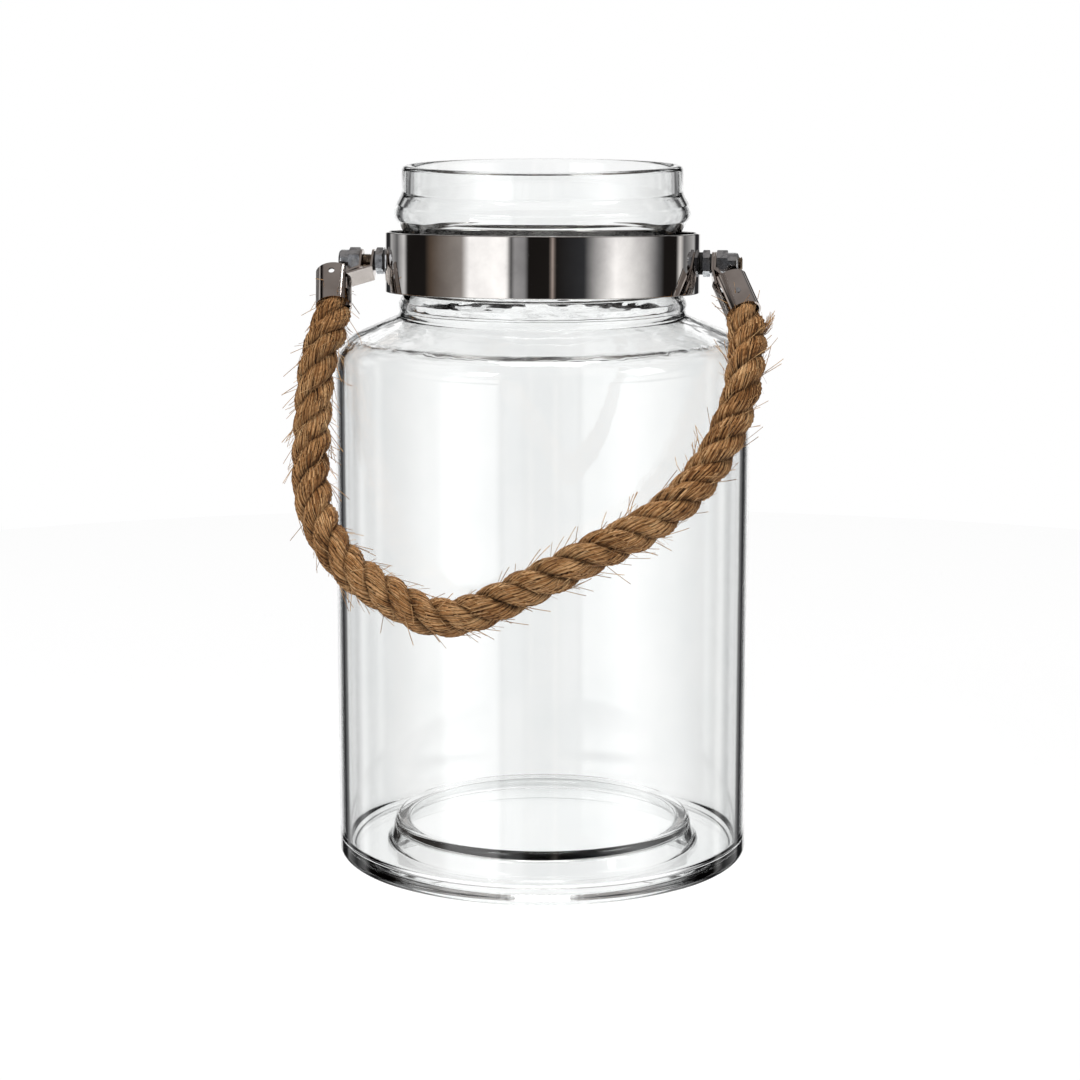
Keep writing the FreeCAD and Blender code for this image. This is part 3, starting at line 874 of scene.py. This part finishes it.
@dataclass
class NeckBand:
    """Finishes of the band and of the small hardware that it carries."""

    nodes: dict[str, tuple[str, ...]] = field(default_factory=lambda: {
        "zinc": ("jam_nut", "lock_nut", "rope_pin"),
        "rubber": ("bolt_pad", "rubber_washer"),
        "nylon": ("pivot_washer", "nylon_insert"),
    })
    thread_radius: float = 2.97
    thread_depth: float = 0.36
    thread_pitch: float = 1.0
    thread_from: float = 67.0
    thread_short: float = 0.5
    seat: float = 66.23
    head_radius: float = 6.0
    head_height: float = 3.0
    head_bevel: float = 0.9
    tip: float = 86.0
    bolt_sides: int = 48
    bolt_step: float = 12.0
    stud_z: float = 261.0
    turn: float = 6.0

    def build(self) -> None:
        """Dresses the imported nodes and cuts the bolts' threads."""
        dress(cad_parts["neck_band"], PolishedSteel().build())
        finishes = {
            "zinc": ZincPlate().build(),
            "rubber": BlackMoulding().build(),
            "nylon": BlackMoulding("black_nylon", base=(0.03, 0.03, 0.03, 1.0), rubbed=(0.1, 0.1, 0.1, 1.0),
                                   roughness=0.42).build(),
        }
        bronze = ZincPlate("bronzed_zinc", light=(0.34, 0.27, 0.20, 1.0), dark=(0.10, 0.075, 0.055, 1.0),
                           tint=(0.12, 0.07, 0.04, 1.0), stain=0.5).build()
        for side in Side:
            for finish, words in self.nodes.items():
                for word in words:
                    dress(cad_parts[f"{side.word}_{word}"], finishes[finish])
            self.bolt(side, bronze)

    def bolt(self, side: Side, material: bpy.types.Material) -> None:
        """Makes one bolt with a real thread, in place of its plain node.

        Args:
            side: Which side it is on.
            material: Its finish.
        """
        core = self.thread_radius - self.thread_depth
        low = self.seat - self.head_height
        thread_length = self.tip - self.thread_short - self.thread_from
        profile = rounded_profile([
            (0, low, 0), (self.head_radius, low, self.head_bevel), (self.head_radius, self.seat, 0.2),
            (core, self.seat, 0.1), (core, self.tip, 0.6), (0, self.tip, 0)], self.bolt_step)
        name = f"{side.word}_bolt_threaded"
        shank = lathe(name + "_shank", profile, self.bolt_sides)
        tree = GeometryTree("bolt_thread", {
            "Turns": ("NodeSocketFloat", thread_length / self.thread_pitch),
            "Radius": ("NodeSocketFloat", core * MM),
            "Depth": ("NodeSocketFloat", self.thread_depth * MM),
            "Height": ("NodeSocketFloat", thread_length * MM),
            "Start": ("NodeSocketFloat", self.thread_from * MM),
            "Finish": ("NodeSocketMaterial", material),
        })
        spiral = tree.add("GeometryNodeCurveSpiral", {}, {
            "Resolution": 24, "Rotations": tree.given("Turns"), "Start Radius": tree.given("Radius"),
            "End Radius": tree.given("Radius"), "Height": tree.given("Height")})
        ridge = tree.add("GeometryNodeCurvePrimitiveCircle", {"mode": "RADIUS"}, {
            "Resolution": 4, "Radius": tree.given("Depth")})
        thread = tree.add("GeometryNodeCurveToMesh", {}, {
            "Curve": spiral, "Profile Curve": ridge, "Fill Caps": True})
        raised = tree.add("ShaderNodeCombineXYZ", {}, {"Z": tree.given("Start")})
        moved = tree.add("GeometryNodeTransform", {}, {
            "Geometry": thread, "Translation": raised})
        whole = tree.add("GeometryNodeJoinGeometry", {}, {})
        tree.tree.links.new(tree.given("Geometry"), whole.inputs[0])
        tree.tree.links.new(moved.outputs[0], whole.inputs[0])
        tree.finish(whole, tree.given("Finish"))
        bolt = tree.run(name, shank)
        bpy.data.objects.remove(shank)
        quarter = Matrix.Rotation(math.radians(90), 4, "Y")
        facing = Matrix.Rotation(math.radians(-self.turn + (180 if side is Side.LEFT else 0)), 4, "Z")
        bolt.data.transform(Matrix.Translation((0, 0, self.stud_z * MM)) @ facing @ quarter)
        dress(bolt, material)
        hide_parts(f"{side.word}_bolt")
        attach(bolt, "band")
        LOG.info("%s: %d faces", name, len(bolt.data.polygons))


@dataclass(frozen=True)
class FibreKind:
    """How one sort of loose fibre grows; lengths in metres."""

    name: str
    count: int
    length: float
    lift: float
    width: float
    spin: float
    seed: int


PROUD = FibreKind("fibres_proud", 230, 0.0060, 0.0016, 0.00005, 3.1, 3)
LYING = FibreKind("fibres_lying", 1300, 0.0110, 0.0006, 0.00015, 1.0, 5)
FRAYED = FibreKind("fibres_frayed", 90, 0.0070, 0.0030, 0.00009, 1.1, 11)


@dataclass
class Strand:
    """One laid strand, point by point, with the values that its material reads."""

    points: Array
    tone: Array
    proud: Array
    uv: Array


@dataclass
class RopeHandle:
    """Three-strand twisted rope between two steel caps, with its loose fibres."""

    route: tuple[Point, ...] = (
        (-0.0900, -0.0007, 0.2498), (-0.0894, -0.0128, 0.2365), (-0.0960, -0.0255, 0.2225),
        (-0.0975, -0.0365, 0.1935), (-0.0975, -0.0520, 0.1650), (-0.0840, -0.0715, 0.1425),
        (-0.0605, -0.0860, 0.1295), (-0.0405, -0.0950, 0.1220), (-0.0155, -0.0990, 0.1325),
        (0.0175, -0.0985, 0.1500), (0.0480, -0.0875, 0.1635), (0.0690, -0.0730, 0.1820),
        (0.0810, -0.0595, 0.2055), (0.0845, -0.0515, 0.2210), (0.0874, -0.0318, 0.2360),
        (0.0820, -0.0200, 0.2484),
    )
    mouth: Point = (-0.0897, -0.0073, 0.2425)
    length: float = 0.4056
    diameter: float = 0.016
    strands_in_rope: int = 3
    lay: float = 0.0355
    strand_offset: float = 0.00375
    strand_radius: float = 0.00445
    yarn_lay: float = 0.0185
    yarns: int = 16
    squeeze: float = 0.80
    inside_cap: float = 0.0096
    swell: float = 0.0045
    phase_wobble: tuple[float, int] = (0.10, 14)
    offset_wobble: tuple[float, int] = (0.03, 20)
    width_wobble: tuple[float, int] = (0.025, 26)
    yarn_wobble: tuple[float, int] = (0.03, 12)
    yarn_depth: float = 0.10
    sides: int = 96
    ring_step: float = 0.0013
    seed: int = 7
    tuft_at: Point = (0.0925, -0.0335, 0.2345)
    tuft_size: float = 0.0022

    def centre_line(self) -> Array:
        """Even points along the handle's smooth centre line."""
        data = bpy.data.curves.new("rope_line", "CURVE")
        data.dimensions = "3D"
        data.resolution_u = 24
        spline = data.splines.new("NURBS")
        spline.points.add(len(self.route) - 1)
        for target, point in zip(spline.points, self.route):
            target.co = (*point, 1.0)
        spline.order_u = 3
        spline.use_endpoint_u = True
        thing = bpy.data.objects.new("rope_line", data)
        bpy.context.scene.collection.objects.link(thing)
        graph = bpy.context.evaluated_depsgraph_get()
        graph.update()
        mesh = bpy.data.meshes.new_from_object(thing.evaluated_get(graph))
        points = np.array([vert.co[:] for vert in mesh.vertices])
        bpy.data.objects.remove(thing)
        travelled = np.concatenate([[0], np.cumsum(np.linalg.norm(np.diff(points, axis=0), axis=1))])
        count = int(travelled[-1] / self.ring_step)
        even = np.linspace(0, travelled[-1], count + 1)
        return np.stack([np.interp(even, travelled, points[:, axis]) for axis in range(3)], axis=1)

    @staticmethod
    def frames(line: Array) -> tuple[Array, Array, Array, Array]:
        """Distances and twist-free axes along a line.

        Args:
            line: Points of the line.

        Returns:
            Distance, tangent, normal and binormal at each point.
        """
        tangent = np.gradient(line, axis=0)
        tangent /= np.linalg.norm(tangent, axis=1)[:, None]
        normal = np.zeros_like(line)
        start = np.cross(tangent[0], (1.0, 0.0, 0.0))
        normal[0] = start / np.linalg.norm(start)
        for i in range(1, len(line)):
            carried = normal[i - 1] - tangent[i] * np.dot(normal[i - 1], tangent[i])
            normal[i] = carried / np.linalg.norm(carried)
        travelled = np.concatenate([[0], np.cumsum(np.linalg.norm(np.diff(line, axis=0), axis=1))])
        return travelled, tangent, normal, np.cross(tangent, normal)

    @staticmethod
    def ripple(rng: np.random.Generator, count: int, wobble: tuple[float, int]) -> Array:
        """A smooth wobble along the rope.

        Args:
            rng: Source of the wobble.
            count: How many samples.
            wobble: How strong it is, and its highest number of waves over the samples.

        Returns:
            The samples.
        """
        strength, waves = wobble
        along = np.linspace(0, 2 * math.pi, count)
        total = np.zeros(count)
        for wave in range(1, waves + 1):
            total += rng.normal() * np.sin(along * wave + rng.uniform(0, 6.28)) / math.sqrt(waves)
        return strength * np.clip(total, -1.6, 1.6)

    def lay_strand(self, rng: np.random.Generator, number: int, line: Array, travelled: Array,
                   axes: tuple[Array, Array], scale: Array) -> Strand:
        """Lays one strand round the centre line.

        Args:
            rng: Source of its unevenness.
            number: Which strand, from 0.
            line: The centre line.
            travelled: Distance along it at each point.
            axes: Normal and binormal at each point.
            scale: Thickness at each point, 1 outside the caps.

        Returns:
            The strand.
        """
        count = len(line)
        lag = number / self.strands_in_rope
        wander = self.ripple(rng, count, self.phase_wobble)
        phase = 2 * math.pi * (travelled / self.lay + lag) + wander
        out = np.cos(phase)[:, None] * axes[0] + np.sin(phase)[:, None] * axes[1]
        offset = self.strand_offset * scale * (1 + self.ripple(rng, count, self.offset_wobble))
        centre = line + out * offset[:, None]
        along = np.gradient(centre, axis=0)
        along /= np.linalg.norm(along, axis=1)[:, None]
        out = out - along * np.sum(out * along, axis=1)[:, None]
        out /= np.linalg.norm(out, axis=1)[:, None]
        side = np.cross(along, out)
        yarn_turn = 2 * math.pi * travelled / self.yarn_lay
        width = self.strand_radius * scale * (1 + self.ripple(rng, count, self.width_wobble))
        depths = rng.uniform(0.6, 1.4, self.yarns)
        levels = rng.uniform(0.0, 1.0, self.yarns)
        drift = np.array([self.ripple(rng, count, self.yarn_wobble) for _ in range(self.yarns)])
        rings = np.zeros((count, self.sides, 3))
        tone = np.zeros((count, self.sides))
        uv = np.zeros((count, self.sides, 2))
        for k, angle in enumerate(np.arange(self.sides) * 2 * math.pi / self.sides):
            yarn_angle = (angle + yarn_turn) / (2 * math.pi) * self.yarns
            index = np.floor(yarn_angle).astype(int) % self.yarns
            within = yarn_angle - np.floor(yarn_angle)
            crown = np.sqrt(np.clip(1 - (2 * within - 1) ** 2, 0, 1))
            lift = drift[index, np.arange(count)]
            radius = width * (1 - self.yarn_depth + self.yarn_depth * crown * depths[index] + lift * crown)
            rings[:, k] = centre + (math.cos(angle) * out + math.sin(angle) * side) * radius[:, None]
            tone[:, k] = levels[index]
            uv[:, k, 0] = travelled + number * 0.7
            uv[:, k, 1] = yarn_angle / self.yarns + number * 3.0
        reach = np.linalg.norm(rings - line[:, None, :], axis=2) / (self.diameter / 2 * scale[:, None])
        return Strand(rings.reshape(-1, 3), tone.reshape(-1), reach.reshape(-1), uv.reshape(-1, 2))

    def tube_faces(self, base: int, count: int) -> list[Sequence[int]]:
        """Faces of one closed tube.

        Args:
            base: Index of its first point.
            count: How many rings it has.

        Returns:
            Its sides, then its two ends.
        """
        faces: list[Sequence[int]] = []
        for i in range(count - 1):
            a, b = base + i * self.sides, base + (i + 1) * self.sides
            for k in range(self.sides):
                m = (k + 1) % self.sides
                faces.append((a + k, a + m, b + m, b + k))
        last = base + (count - 1) * self.sides
        faces.append([base + k for k in reversed(range(self.sides))])
        faces.append([last + k for k in range(self.sides)])
        return faces

    def strands(self, line: Array) -> bpy.types.Object:
        """Lays the strands round the centre line.

        Args:
            line: The centre line.

        Returns:
            The strands as one mesh.
        """
        rng = np.random.default_rng(self.seed)
        travelled, tangent, normal, binormal = self.frames(line)
        from_end = np.minimum(travelled, travelled[-1] - travelled)
        ease = np.clip((from_end - self.inside_cap) / self.swell, 0, 1)
        scale = self.squeeze + (1 - self.squeeze) * ease * ease * (3 - 2 * ease)
        laid: list[Strand] = []
        faces: list[Sequence[int]] = []
        for number in range(self.strands_in_rope):
            laid.append(self.lay_strand(rng, number, line, travelled, (normal, binormal), scale))
            faces += self.tube_faces(number * len(line) * self.sides, len(line))
        rope = mesh_object("rope_strands", np.vstack([strand.points for strand in laid]), faces)
        mesh = rope.data
        for word in ("tone", "proud"):
            layer = mesh.attributes.new(word, "FLOAT", "POINT")
            values = np.concatenate([getattr(strand, word) for strand in laid])
            layer.data.foreach_set("value", values.astype(np.float32))
        flow = np.tile(np.repeat(tangent, self.sides, axis=0), (self.strands_in_rope, 1))
        layer = mesh.attributes.new("flow", "FLOAT_VECTOR", "POINT")
        layer.data.foreach_set("vector", flow.astype(np.float32).ravel())
        self.unwrap(mesh, np.vstack([strand.uv for strand in laid]))
        point_outwards(rope)
        return rope

    def unwrap(self, mesh: bpy.types.Mesh, uvs: Array) -> None:
        """Writes the fibre coordinates, with each face kept on one side of the yarn seam.

        Args:
            mesh: The strands.
            uvs: Coordinates of each point.
        """
        layer = mesh.uv_layers.new(name="fibre")
        corners = np.zeros(len(mesh.loops), dtype=np.int32)
        mesh.loops.foreach_get("vertex_index", corners)
        values = uvs[corners].copy()
        for face in mesh.polygons:
            part = slice(face.loop_start, face.loop_start + face.loop_total)
            across = values[part, 1]
            if across.max() - across.min() > 0.5:
                values[part, 1] = np.where(across < across.max() - 0.5, across + 1.0, across)
        layer.data.foreach_set("uv", values.astype(np.float32).ravel())

    def fibres(self, kind: FibreKind, host: bpy.types.Object,
               material: bpy.types.Material) -> bpy.types.Object:
        """Loose fibres spread over the rope.

        Args:
            kind: How they grow.
            host: The rope.
            material: Their finish.

        Returns:
            The fibres as one mesh.
        """
        area = sum(face.area for face in host.data.polygons)
        tree = GeometryTree(kind.name + "_tree", {
            "Density": ("NodeSocketFloat", kind.count / area),
            "Length": ("NodeSocketFloat", kind.length),
            "Lift": ("NodeSocketFloat", kind.lift),
            "Width": ("NodeSocketFloat", kind.width),
            "Spin": ("NodeSocketFloat", kind.spin),
            "Seed": ("NodeSocketInt", kind.seed),
            "Finish": ("NodeSocketMaterial", material),
        })
        points = tree.add("GeometryNodeDistributePointsOnFaces", {"distribute_method": "RANDOM"}, {
            "Mesh": tree.given("Geometry"), "Density": tree.given("Density"),
            "Seed": tree.given("Seed")})
        half = tree.add("ShaderNodeMath", {"operation": "MULTIPLY"}, {0: tree.given("Length"), 1: 0.5})
        middle = tree.add("ShaderNodeCombineXYZ", {}, {"X": half, "Z": tree.given("Lift")})
        drop = tree.add("ShaderNodeMath", {"operation": "MULTIPLY"}, {0: tree.given("Lift"), 1: 1.1})
        end = tree.add("ShaderNodeCombineXYZ", {}, {"X": tree.given("Length"), "Z": drop})
        bend = tree.add("GeometryNodeCurveQuadraticBezier", {}, {
            "Resolution": 5, "Start": (0.0, 0.0, 0.0), "Middle": middle, "End": end})
        section = tree.add("GeometryNodeCurvePrimitiveCircle", {"mode": "RADIUS"}, {
            "Resolution": 3, "Radius": tree.given("Width")})
        fibre = tree.add("GeometryNodeCurveToMesh", {}, {
            "Curve": bend, "Profile Curve": section, "Fill Caps": True})
        flow = tree.add("GeometryNodeInputNamedAttribute", {"data_type": "FLOAT_VECTOR"}, {"Name": "flow"})
        lined = tree.add("FunctionNodeAlignRotationToVector", {"axis": "X", "pivot_axis": "Z"}, {
            "Rotation": points.outputs["Rotation"], "Factor": 1.0, "Vector": flow})
        back = tree.add("ShaderNodeMath", {"operation": "MULTIPLY"}, {0: tree.given("Spin"), 1: -1.0})
        low = tree.add("ShaderNodeCombineXYZ", {}, {"Z": back, "Y": -0.25})
        high = tree.add("ShaderNodeCombineXYZ", {}, {"Z": tree.given("Spin"), "Y": 0.1})
        wander = tree.add("FunctionNodeRandomValue", {"data_type": "FLOAT_VECTOR"}, {
            0: low, 1: high, "Seed": tree.given("Seed")})
        turned = tree.add("FunctionNodeRotateRotation", {"rotation_space": "LOCAL"}, {
            "Rotation": lined, "Rotate By": wander})
        size = tree.add("FunctionNodeRandomValue", {"data_type": "FLOAT"}, {
            2: 0.15, 3: 1.2, "Seed": tree.given("Seed")})
        grown = tree.add("GeometryNodeInstanceOnPoints", {}, {
            "Points": points.outputs["Points"], "Instance": fibre, "Rotation": turned,
            "Scale": size.outputs[1]})
        tree.finish(grown, tree.given("Finish"))
        return tree.run(kind.name, host)

    def frayed_end(self, material: bpy.types.Material) -> bpy.types.Object:
        """A small tuft that has sprung out of the rope beside the right cap.

        Args:
            material: Its finish.

        Returns:
            The tuft.
        """
        at, size = np.array(self.tuft_at), self.tuft_size
        corners = at + np.array([(0, -size, -size), (0, size, -size), (0, size, size), (0, -size, size)])
        patch = mesh_object("tuft_root", corners, [(0, 1, 2, 3)])
        layer = patch.data.attributes.new("flow", "FLOAT_VECTOR", "POINT")
        layer.data.foreach_set("vector", np.array([(0.3, 0.0, 1.0)] * 4, dtype=np.float32).ravel())
        tuft = self.fibres(FRAYED, patch, material)
        bpy.data.objects.remove(patch)
        return tuft

    def build(self) -> None:
        """Makes the rope, its fibres and its caps' finish."""
        line = self.centre_line()
        rope = self.strands(line)
        fibre = LooseFibre().build()
        proud = self.fibres(PROUD, rope, fibre)
        lying = self.fibres(LYING, rope, fibre)
        frayed = self.frayed_end(fibre)
        dress(rope, RopeFibre().build())
        loose = [proud, lying, frayed]
        for piece in loose:
            dress(piece, fibre)
        for piece in (rope, *loose):
            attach(piece, "handle")
            LOG.info("%s: %d faces", piece.name, len(piece.data.polygons))
        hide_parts("rope")
        caps = PolishedSteel("cap_steel", light=(0.58, 0.53, 0.50, 1.0), dark=(0.42, 0.37, 0.34, 1.0),
                             smooth=0.06, worn=0.20, brushed_along=(500.0, 500.0, 60.0)).build()
        on_rope = list(loose)
        for side in Side:
            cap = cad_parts[f"{side.word}_rope_cap"]
            dress(cap, caps)
            on_rope.append(cap)
            on_rope.append(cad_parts[f"{side.word}_rope_pin"])


def main() -> None:
    """Builds the lantern and its studio, in order."""
    logging.basicConfig(level=logging.INFO, format="%(name)s: %(message)s")
    studio = Studio()
    studio.build_camera()
    RopeHandle().build()
    GlassJar().build()
    NeckBand().build()
    studio.build_floor()
    studio.build_light()


if __name__ == "__main__":
    main()
